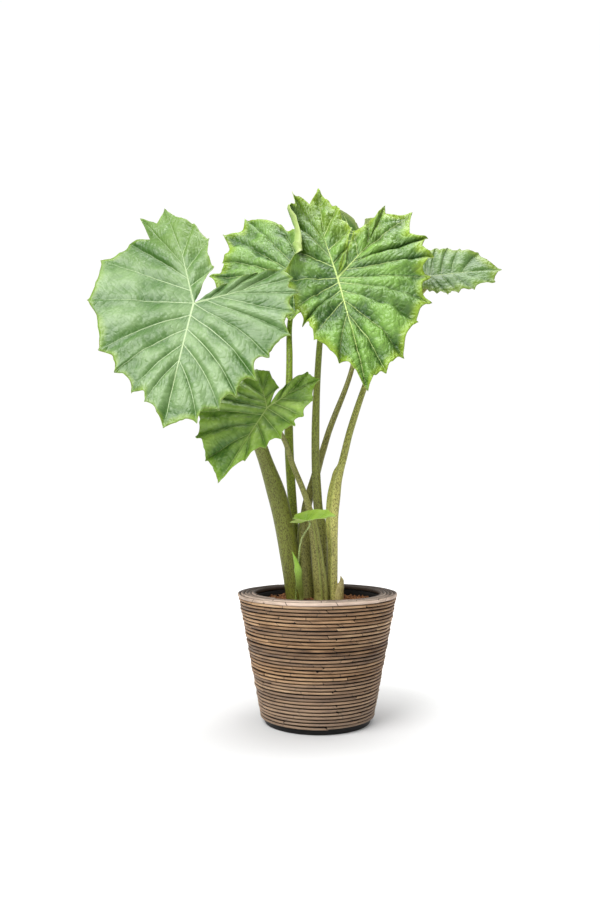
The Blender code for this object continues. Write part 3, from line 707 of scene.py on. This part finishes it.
def halfVeins(side, leaf):
    # (start, end, bay) of each vein of one half: up the notch, round the lobe, down to the tip;
    # an entry of four is no vein but the deepest point of the bay after the last one
    length = leaf["length"]
    reach, power = leaf["spring"]
    ribEnd = polar(*side["rib"]) * blade["ribReach"]
    lobe = len(side["inner"]) - 1
    down = len([tooth for tooth in side["main"] if len(tooth) == 3])
    starts = [ribEnd * (i / lobe) for i in range(lobe + 1)]
    outer = len([tooth for tooth in side["outer"] if len(tooth) == 3])
    starts += [ribEnd * (1 - i / outer) for i in range(outer)]
    starts += [Vector((0, length * reach * (i / down) ** power, 0)) for i in range(down)]
    veins = []
    for tooth in side["inner"] + side["outer"] + side["main"]:
        if len(tooth) == 4:
            veins[-1][2] = polar(*tooth[:3])
        else:
            veins.append([starts[len(veins)], polar(*tooth), None])
    veins.append([Vector((0, length * reach, 0)), Vector((0, length, 0)), None])
    return veins


def ribDistance(point, side, length):
    # how far a point is from the midrib or its own basal rib, in widths of that rib
    best = 99.0
    for end in (Vector((0, length, 0)), polar(*side["rib"]) * blade["ribReach"]):
        along = max(0.0, min(1.0, point.dot(end) / end.length_squared))
        away = math.hypot(point.x - end.x * along, point.y - end.y * along)
        best = min(best, away / (blade["ribWidth"] * (1.0 - 0.75 * along)))
    return best


def strengthAt(end, peaks):
    # peaks are (degrees from the tip, width in degrees, strength)
    degrees = math.degrees(math.atan2(end.x, end.y)) % 360
    return sum(strength * math.exp(-((degrees - middle) / width) ** 2) for middle, width, strength in peaks)


def halfColumns(side, leaf, rng):
    # every mesh column: where it starts and ends, how near it is to a vein, how its panel bulges
    veins = halfVeins(side, leaf)
    columns = []
    count = blade["columns"]
    seed = rng.uniform(0, 50)
    for (startA, endA, bay), (startB, endB, _) in zip(veins, veins[1:]):
        bulge = rng.uniform(0.55, 1.45)
        depth = leaf["bay"] * rng.uniform(0.5, 2.0)
        peak = rng.uniform(0.32, 0.68)
        extra = rng.uniform(0.35, 0.65)         # a small tooth somewhere between the two large ones
        gapStart, gapEnd = (startB - startA).length, (endB - endA).length
        for step in range(count):
            even = step / count
            share = even - math.sin(even * math.tau) / math.tau * 0.55     # closer together near the veins
            start = startA.lerp(startB, share)
            target = endA.lerp(endB, share)
            if bay:
                target = endA.lerp(bay, share * 2) if share < 0.5 else bay.lerp(endB, share * 2 - 1)
            reach = target - start
            near = min(share, 1 - share)
            shrink = 1 - depth * (1 - abs(2 * share - 1) ** 1.6)
            point = math.exp(-(near * gapEnd / blade["toothWidth"]) ** 1.3) * blade["tooth"]
            if gapEnd > 0.045 and not bay:
                small = math.exp(-(abs(share - extra) * gapEnd / 0.004) ** 1.3)
                point += small * blade["tooth"] * blade["smallTooth"]
            wave = noise.noise(Vector((seed + len(columns) * 0.33, 0, 0))) * blade["wave"]
            size = max(reach.length, 1e-6)
            end = start + reach * (shrink + (point + wave) * min(1.0, size / 0.1) / size)
            skew = share ** (math.log(0.5) / math.log(peak))
            arch = (1 - (2 * skew - 1) ** 2) * bulge
            columns.append(dict(start=start, end=end, near=near, arch=arch, gapStart=gapStart, gapEnd=gapEnd,
                                wave=seed + len(columns) * 0.21,
                                curl=strengthAt(target, side.get("curl", [])),
                                deep=strengthAt(target, side.get("deep", []))))
    start, end, _ = veins[-1]
    columns.append(dict(start=start, end=end, near=0.0, arch=0.0, gapStart=0.0, gapEnd=0.0,
                        wave=seed, curl=0.0, deep=0.0))
    return columns


def bladePoint(column, out, leaf, mirror, seed):
    # a point of the blade, out of the way from the ribs (0) to the margin (1)
    start, end = column["start"], column["end"]
    point = start.lerp(end, out)
    reach = end - start
    bow = Vector((reach.y, -reach.x, 0)) * (0.05 * math.sin(out * math.pi))
    if bow.y > 0:
        bow = -bow
    if abs(end.x) > 1e-6 and point.y > 0:
        point += bow * min(1.0, abs(end.x) / 0.08) * min(1.0, point.y / 0.07)
    gap = column["gapStart"] + (column["gapEnd"] - column["gapStart"]) * out
    lift = column["arch"] * leaf["quilt"] * min(gap, blade["widest"]) * min(1.0, out * 3.0) * (1 - 0.3 * out)
    place = Vector((point.x * mirror, point.y, 0))
    shift = Vector((0, 0, seed))
    crumple = sum(share * noise.noise(place * pitch + shift) for pitch, share in blade["crumples"])
    lift += crumple * leaf["crumple"] * min(1.0, out * 2.0)
    frill = noise.noise(Vector((column["wave"], seed, 3))) * leaf["frill"]
    lift += frill * out ** 3 * min(1.0, reach.length / 0.1)
    along = point.y / leaf["length"]
    form = leaf["fold"] * abs(point.x) * 0.5 - leaf["droop"] * along * along
    if column["curl"] > 0.02 and out > blade["curlFrom"]:
        hinge = start.lerp(end, blade["curlFrom"])
        radius = blade["curlRadius"] / column["curl"]
        turn = (out - blade["curlFrom"]) * reach.length / radius
        point = hinge + reach.normalized() * (math.sin(turn) * radius)
        point.z += (1 - math.cos(turn)) * radius
    # painted shade: how high the point stands in its crumples and panel, which the materials turn into
    # darker hollows and lighter ridges
    paintedReliefShade = 0.5 + 0.55 * crumple + 0.30 * (column["arch"] - 0.5)
    return Vector((point.x * mirror, point.y, point.z + lift + form)), gap, point, paintedReliefShade


def leafMatrix(leaf):
    up = Vector(leaf["face"]).normalized()
    along = Vector(leaf["tip"])
    along = (along - up * along.dot(up)).normalized()
    across = along.cross(up)
    return Matrix.Translation(leaf["joint"]) @ Matrix((across, along, up)).transposed().to_4x4()


def makeLeaf(node, leaf, index):
    rng = random.Random(100 + index)
    left = [(column, 1) for column in halfColumns(leaf["left"], leaf, rng)]
    right = [(column, -1) for column in halfColumns(leaf["right"], leaf, rng)]
    columns = left + right[-2::-1]
    rows = blade["rows"]
    size = max(leaf["length"] / 0.3, 0.45)
    bm = bmesh.new()
    bmesh.ops.create_grid(bm, x_segments=len(columns) - 1, y_segments=rows, size=0.5)
    layers = {key: bm.verts.layers.float.new(key)
              for key in ("vein", "rib", "edge", "run", "spread", "lobe", "paintedReliefShade", "deep")}
    for vert in bm.verts:
        column, mirror = columns[round((vert.co.x + 0.5) * (len(columns) - 1))]
        out = (vert.co.y + 0.5) ** 1.25      # rows are closer together near the ribs
        vert.co, gap, flat, paintedReliefShade = bladePoint(column, out, leaf, mirror, index * 7.0)
        reach = (column["end"] - column["start"]).length
        side = leaf["left"] if mirror == 1 else leaf["right"]
        vert[layers["spread"]] = column["near"] * gap
        vert[layers["vein"]] = column["near"] * gap / (blade["veinWidth"] * size * (1.25 - out))
        vert[layers["rib"]] = ribDistance(flat, side, leaf["length"]) / size
        vert[layers["paintedReliefShade"]] = paintedReliefShade
        vert[layers["deep"]] = column["deep"] * min(1.0, out * 2.5)
        vert[layers["edge"]] = (1 - out) * reach
        vert[layers["run"]] = out * reach
        vert[layers["lobe"]] = max(0.0, -vert.co.y / (leaf["length"] * 0.75))
    bmesh.ops.remove_doubles(bm, verts=bm.verts, dist=1e-5)
    bmesh.ops.recalc_face_normals(bm, faces=bm.faces)
    if sum(face.normal.z * face.calc_area() for face in bm.faces) < 0:
        bmesh.ops.reverse_faces(bm, faces=bm.faces)
    bmesh.ops.transform(bm, matrix=leafMatrix(leaf), verts=bm.verts)
    title = titleOf(node)
    materials = [leafMaterial(f"leaf{title}", leaf["tint"], leaf["net"]),
                 leafUnderMaterial(f"leafUnder{title}", leaf["tint"])]
    piece = finishPiece(f"blade{title}", bm, materials, (node,))
    shell = piece.modifiers.new("thickness", "SOLIDIFY")
    shell.thickness = blade["thickness"]
    shell.offset = -1
    shell.material_offset = 1
    shell.material_offset_rim = 1


def makeLeaves():
    for index, (node, leaf) in enumerate(leaves.items()):
        makeLeaf(node, leaf, index)
    print("leaves grown:", len(leaves))


# A stalk carries the leaf of the same name. Its route is its (x, y, z, radius) stops, short of the joint
# of that leaf, where makeStalks adds the last two. Its sheath is split open on the side it is facing, up
# to that share of its height; low and high are its colours.

stipple = ((0.052, 0.036, 0.009), 0.74)      # the colour of the flecks and how strongly they show
stalks = {
    "stalk_front_left": dict(
        tipRadius=0.0055, sheath=0.45, facing=0.5,
        low=(0.21, 0.235, 0.030), high=(0.20, 0.235, 0.035),
        route=[(-0.060, -0.010, 0.303, 0.0185), (-0.075, -0.012, 0.440, 0.0235),
               (-0.0985, -0.020, 0.555, 0.023), (-0.135, -0.045, 0.668, 0.017),
               (-0.1875, -0.090, 0.817, 0.011), (-0.242, -0.140, 0.949, 0.0075)]),
    "stalk_back_left": dict(
        tipRadius=0.0055, sheath=0.2, facing=2.0,
        low=(0.24, 0.28, 0.03), high=(0.24, 0.38, 0.025),
        route=[(-0.046, 0.040, 0.320, 0.0135), (-0.062, 0.047, 0.527, 0.0115),
               (-0.072, 0.055, 0.704, 0.0115), (-0.071, 0.090, 0.920, 0.0085),
               (-0.070, 0.130, 1.030, 0.007)]),
    "stalk_front_right": dict(
        tipRadius=0.0055, sheath=0.25, facing=1.5,
        low=(0.36, 0.36, 0.085), high=(0.16, 0.23, 0.022),
        route=[(0.014, 0.004, 0.320, 0.013), (0.012, 0.006, 0.4715, 0.0125),
               (0.0015, 0.0, 0.540, 0.0115), (-0.005, -0.020, 0.699, 0.010),
               (0.002, -0.045, 0.896, 0.0078), (0.014, -0.065, 0.995, 0.0065)]),
    "stalk_back_right": dict(
        tipRadius=0.005, sheath=0.3, facing=3.6,
        low=(0.30, 0.30, 0.08), high=(0.24, 0.24, 0.06),
        route=[(-0.025, 0.010, 0.325, 0.0175), (-0.0335, 0.014, 0.438, 0.0178),
               (-0.028, 0.028, 0.527, 0.0125), (-0.004, 0.040, 0.614, 0.011),
               (0.014, 0.048, 0.673, 0.0088), (0.0326, 0.055, 0.733, 0.008),
               (0.095, 0.100, 0.903, 0.0065), (0.125, 0.130, 1.100, 0.006)]),
    "stalk_far_right": dict(
        tipRadius=0.0045, sheath=0.5, facing=3.9,
        low=(0.72, 0.70, 0.21), high=(0.28, 0.31, 0.06),
        route=[(0.037, -0.020, 0.325, 0.0125), (0.0375, -0.022, 0.440, 0.0125),
               (0.0355, -0.022, 0.497, 0.0155), (0.040, -0.018, 0.555, 0.0165),
               (0.0505, -0.008, 0.613, 0.0135), (0.062, 0.006, 0.643, 0.0095),
               (0.084, 0.013, 0.729, 0.0088), (0.124, 0.020, 0.849, 0.0075),
               (0.174, 0.035, 0.974, 0.006)]),
    "stalk_low_left": dict(
        tipRadius=0.004, sheath=0.4, facing=5.2,
        low=(0.38, 0.37, 0.10), high=(0.22, 0.24, 0.05),
        route=[(0.0080, -0.037, 0.328, 0.018), (-0.009, -0.044, 0.4715, 0.0126),
               (-0.028, -0.054, 0.555, 0.0072), (-0.062, -0.070, 0.640, 0.0068),
               (-0.0805, -0.100, 0.694, 0.006)]),
    "stalk_small": dict(
        tipRadius=0.0018, sheath=0.0, facing=0.0,
        low=(0.30, 0.42, 0.08), high=(0.42, 0.52, 0.20),
        route=[(-0.053, -0.054, 0.320, 0.0025), (-0.046, -0.090, 0.418, 0.0022),
               (-0.0395, -0.105, 0.460, 0.002)]),
}


def stalkMaterial(name, low, high, stipple, amount):
    made, tree, shader = newMaterial(name, 0.42, 0.35)
    share = attribute(tree, "share")
    colour = blendColours(tree, fade(tree, share, 0.0, 0.8), low, high)
    streak = noiseOf(tree, 60.0, 6.0, (1.0, 1.0, 0.12), 0.65)
    colour = blendColours(tree, scaled(tree, fade(tree, streak, 0.35, 0.7), 0.5), colour,
                          tuple(c * 0.55 for c in low))
    fleck = noiseOf(tree, 430.0, 4.0, (1.0, 1.0, 0.5), 0.75)
    fleckMask = maths(tree, "MULTIPLY", fade(tree, fleck, 0.47, 0.57), amount)
    colour = blendColours(tree, fleckMask, colour, stipple)
    edge = attribute(tree, "sheath")
    colour = blendColours(tree, scaled(tree, edge, 0.75), colour, (0.30, 0.36, 0.07))
    wire(tree, colour, shader.inputs["Base Color"])
    setRoughness(tree, shader, streak, 0.32, 0.55)
    bump(tree, shader, maths(tree, "ADD", streak, scaled(tree, fleck, 0.3)), 0.0012, 0.6)
    return made


def smoothRoute(points, perSpan):
    route = [Vector(p) for p in points]
    slopes = []
    for i in range(len(route)):
        before, after = route[max(i - 1, 0)], route[min(i + 1, len(route) - 1)]
        slopes.append((after - before) / ((route[i] - before).length + (after - route[i]).length))
    out = [route[0]]
    for i in range(len(route) - 1):
        third = (route[i + 1] - route[i]).length / 3
        out.extend(interpolate_bezier(route[i], route[i] + slopes[i] * third,
                                      route[i + 1] - slopes[i + 1] * third, route[i + 1], perSpan + 1)[1:])
    return out


def raiseTube(name, node, material, route, perSpan, sides, opening=0.0, facing=0.0, flatten=1.0):
    # a tube along (x, y, z, radius) stops; opening is the share of its height where the sheath is split
    bm = bmesh.new()
    shareLayer, sheathLayer = (bm.verts.layers.float.new(key) for key in ("share", "sheath"))
    points = smoothRoute([stop[:3] for stop in route], perSpan)
    made = bmesh.ops.create_grid(bm, x_segments=sides, y_segments=len(points) - 1, size=0.5)["verts"]
    frames = []
    side = Vector((1, 0, 0))
    for i, point in enumerate(points):
        ahead = (points[min(i + 1, len(points) - 1)] - points[max(i - 1, 0)]).normalized()
        side = (side - ahead * side.dot(ahead)).normalized()
        before, after = route[i // perSpan][3], route[min(i // perSpan + 1, len(route) - 1)][3]
        even = (i % perSpan) / perSpan
        even = even * even * (3 - 2 * even)
        frames.append((point, side.copy(), ahead.cross(side), before + (after - before) * even))
    for vert in made:
        station = round((vert.co.y + 0.5) * (len(points) - 1))
        turn = ((vert.co.x + 0.5) % 1.0) * math.tau
        point, across, other, radius = frames[station]
        part = station / (len(points) - 1)
        off = (turn - facing + math.pi) % math.tau - math.pi
        lip = 0.0
        if opening > 0:
            fades = min(1.0, max(0.0, 1 - part / opening) * 4)
            groove = math.exp(-(off / 0.20) ** 2) * fades
            lip = math.exp(-((abs(off) - 0.40) / 0.13) ** 2) * fades
            radius *= 1 - 0.28 * groove + 0.09 * lip
        radius *= 1 + 0.02 * math.sin(turn * 3 + part * 9) + 0.012 * math.sin(turn * 11 + part * 5)
        vert.co = point + across * (math.cos(turn) * radius) + other * (math.sin(turn) * radius * flatten)
        vert[shareLayer] = part
        vert[sheathLayer] = lip
    bmesh.ops.remove_doubles(bm, verts=made, dist=1e-7)
    closeEnds(bm, made)
    bmesh.ops.recalc_face_normals(bm, faces=bm.faces)
    finishPiece(name, bm, [material], (node,))


def makeStalks():
    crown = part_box("rootstock")[1].z
    for node, part in stalks.items():
        leaf = leaves[node.replace("stalk", "leaf")]
        under = -Vector(leaf["face"]).normalized()
        joint = Vector(leaf["joint"])
        x, y, _, footRadius = part["route"][0]
        radius = part["tipRadius"]
        below, end = joint + under * (4.5 * radius + 0.003), joint + under * 0.0006
        route = [(x, y, crown + 0.0005, footRadius)] + part["route"]
        route += [(*below, radius * 1.1), (*end, radius)]
        name = "stalk" + titleOf(node)
        material = stalkMaterial(name, part["low"], part["high"], *stipple)
        raiseTube(name, node, material, route, 10, 30, part["sheath"], part["facing"])
    print("stalks grown:", len(stalks))


sheaths = {     # the first stop of a route stands on the rootstock
    "sheath_right": dict(
        slot="sheath", finish="drySheath", perSpan=6, flatten=0.8,
        low=(0.60, 0.55, 0.19), high=(0.52, 0.46, 0.20), stipple=((0.16, 0.09, 0.03), 0.55),
        route=[(0.0500, -0.023, 0, 0.0135), (0.0510, -0.023, 0.314, 0.0135), (0.0560, -0.023, 0.336, 0.0105),
               (0.0600, -0.023, 0.350, 0.0055), (0.0575, -0.023, 0.364, 0.0010)]),
    "young_leaf": dict(
        slot="leaf", finish="youngLeaf", perSpan=8, flatten=0.5,
        low=(0.38, 0.48, 0.12), high=(0.24, 0.43, 0.04), stipple=((0.14, 0.26, 0.03), 0.4),
        route=[(-0.040, -0.063, 0, 0.0045), (-0.040, -0.063, 0.312, 0.0045), (-0.046, -0.088, 0.355, 0.0075),
               (-0.048, -0.099, 0.384, 0.0090), (-0.053, -0.099, 0.405, 0.0050),
               (-0.0615, -0.099, 0.428, 0.0010)]),
}


def makeSheaths():
    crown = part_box("rootstock")[1].z
    for node, part in sheaths.items():
        x, y, _, footRadius = part["route"][0]
        route = [(x, y, crown + 0.0005, footRadius)] + part["route"][1:]
        material = stalkMaterial(part["finish"], part["low"], part["high"], *part["stipple"])
        raiseTube(node.split("_")[0] + titleOf(node), node, material, route,
                  part["perSpan"], 18, flatten=part["flatten"])
    made, tree, shader = newMaterial("rootBark", 0.9)
    bark = blendColours(tree, noiseOf(tree, 40.0, 6.0), (0.05, 0.028, 0.015), (0.17, 0.10, 0.05))
    wire(tree, bark, shader.inputs["Base Color"])
    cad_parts["rootstock"].material_slots[0].material = made
    print("sheaths and rootstock finished")


# the whole scene

setCamera()
setStudio()
makeCanes()
makeLiner()
makeSoil()
makeLeaves()
makeStalks()
makeSheaths()
